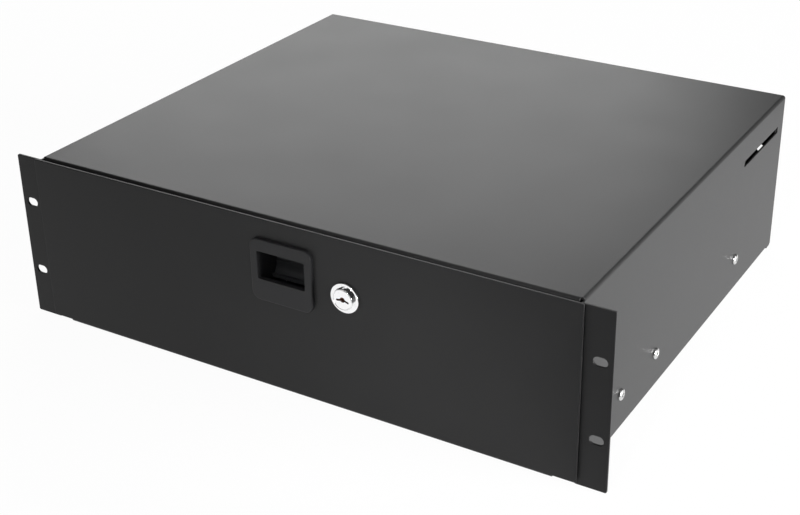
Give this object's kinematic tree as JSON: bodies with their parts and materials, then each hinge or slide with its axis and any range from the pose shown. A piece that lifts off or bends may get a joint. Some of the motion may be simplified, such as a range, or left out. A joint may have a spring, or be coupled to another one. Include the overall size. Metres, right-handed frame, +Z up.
{
  "type": "sliding rack drawer",
  "caption": "Low rack-mount steel case with ears and a tray that pulls out on ball-bearing slides, with a recessed finger latch and a cam lock.",
  "frame": {"origin": "middle of the four rack slots, on the front face of the ears", "axes": "+X to the right across the ears, +Y to the rear of the case, +Z up"},
  "size_m": [0.4826, 0.3949, 0.1339],
  "materials": {
    "powder_coat": "satin black powder coat with a fine texture",
    "zinc_steel": "bright zinc plating",
    "cage_steel": "plain rolled steel strip",
    "ball_steel": "polished bearing steel",
    "nickel_steel": "nickel plated",
    "fastener_steel": "zinc plated",
    "lock_chrome": "bright chrome",
    "latch_plastic": "fine moulded grain",
    "rubber": "matt"
  },
  "bodies": {
    "case": {"case_cover": "powder_coat", "rear_panel": "powder_coat", "bottom_rail_front": "powder_coat", "bottom_rail_rear": "powder_coat", "latch_keeper": "powder_coat", "slide_outer_left": "zinc_steel", "slide_outer_right": "zinc_steel", "slide_screws": "nickel_steel", "slide_bumper_left": "rubber", "slide_bumper_right": "rubber"},
    "drawer": {"drawer_tray": "powder_coat", "drawer_front": "powder_coat", "front_nuts": "fastener_steel", "front_bumpers": "rubber", "tray_screws": "fastener_steel", "slide_inner_left": "zinc_steel", "slide_inner_right": "zinc_steel", "latch_housing": "latch_plastic", "latch_retainer": "zinc_steel", "latch_screws": "fastener_steel", "latch_spring_left": "fastener_steel", "latch_spring_right": "fastener_steel", "lock_barrel": "lock_chrome", "lock_washer": "fastener_steel", "lock_nut": "fastener_steel"},
    "middle_left": {"slide_middle_left": "zinc_steel"},
    "middle_right": {"slide_middle_right": "zinc_steel"},
    "outer_cage_left": {"outer_cage_left": "cage_steel", "outer_balls_left": "ball_steel"},
    "outer_cage_right": {"outer_cage_right": "cage_steel", "outer_balls_right": "ball_steel"},
    "inner_cage_left": {"inner_cage_left": "cage_steel", "inner_balls_left": "ball_steel"},
    "inner_cage_right": {"inner_cage_right": "cage_steel", "inner_balls_right": "ball_steel"},
    "latch_slider": {"latch_paddle": "latch_plastic", "latch_bolt": "fastener_steel", "bolt_pins": "fastener_steel"},
    "lock_core": {"lock_plug": "lock_chrome", "lock_cam": "fastener_steel", "cam_screw": "fastener_steel"}
  },
  "joints": [
    {"name": "drawer_slide", "type": "slide", "parent": "case", "child": "drawer", "axis": [0, -1, 0], "range_m": [0, 0.32]},
    {"name": "middle_slide_left", "type": "slide", "parent": "case", "child": "middle_left", "axis": [0, -1, 0], "range_m": [0, 0.16]},
    {"name": "outer_cage_slide_left", "type": "slide", "parent": "case", "child": "outer_cage_left", "axis": [0, -1, 0], "range_m": [0, 0.08]},
    {"name": "inner_cage_slide_left", "type": "slide", "parent": "case", "child": "inner_cage_left", "axis": [0, -1, 0], "range_m": [0, 0.24]},
    {"name": "middle_slide_right", "type": "slide", "parent": "case", "child": "middle_right", "axis": [0, -1, 0], "range_m": [0, 0.16]},
    {"name": "outer_cage_slide_right", "type": "slide", "parent": "case", "child": "outer_cage_right", "axis": [0, -1, 0], "range_m": [0, 0.08]},
    {"name": "inner_cage_slide_right", "type": "slide", "parent": "case", "child": "inner_cage_right", "axis": [0, -1, 0], "range_m": [0, 0.24]},
    {"name": "latch_press", "type": "slide", "parent": "drawer", "child": "latch_slider", "axis": [0, 0, -1], "range_m": [0, 0.0065], "stiffness_N_per_m": 900, "springref_m": -0.004, "deforming": ["latch_spring_left", "latch_spring_right"]},
    {"name": "lock_turn", "type": "hinge", "parent": "drawer", "child": "lock_core", "pos_m": [0.0501, 0, 0.02527], "axis": [0, -1, 0], "range_deg": [0, 90]}
  ],
  "couplings": [
    {"joint": "middle_slide_left", "follows": "drawer_slide", "ratio": 0.5},
    {"joint": "outer_cage_slide_left", "follows": "drawer_slide", "ratio": 0.25},
    {"joint": "inner_cage_slide_left", "follows": "drawer_slide", "ratio": 0.75},
    {"joint": "middle_slide_right", "follows": "drawer_slide", "ratio": 0.5},
    {"joint": "outer_cage_slide_right", "follows": "drawer_slide", "ratio": 0.25},
    {"joint": "inner_cage_slide_right", "follows": "drawer_slide", "ratio": 0.75}
  ]
}
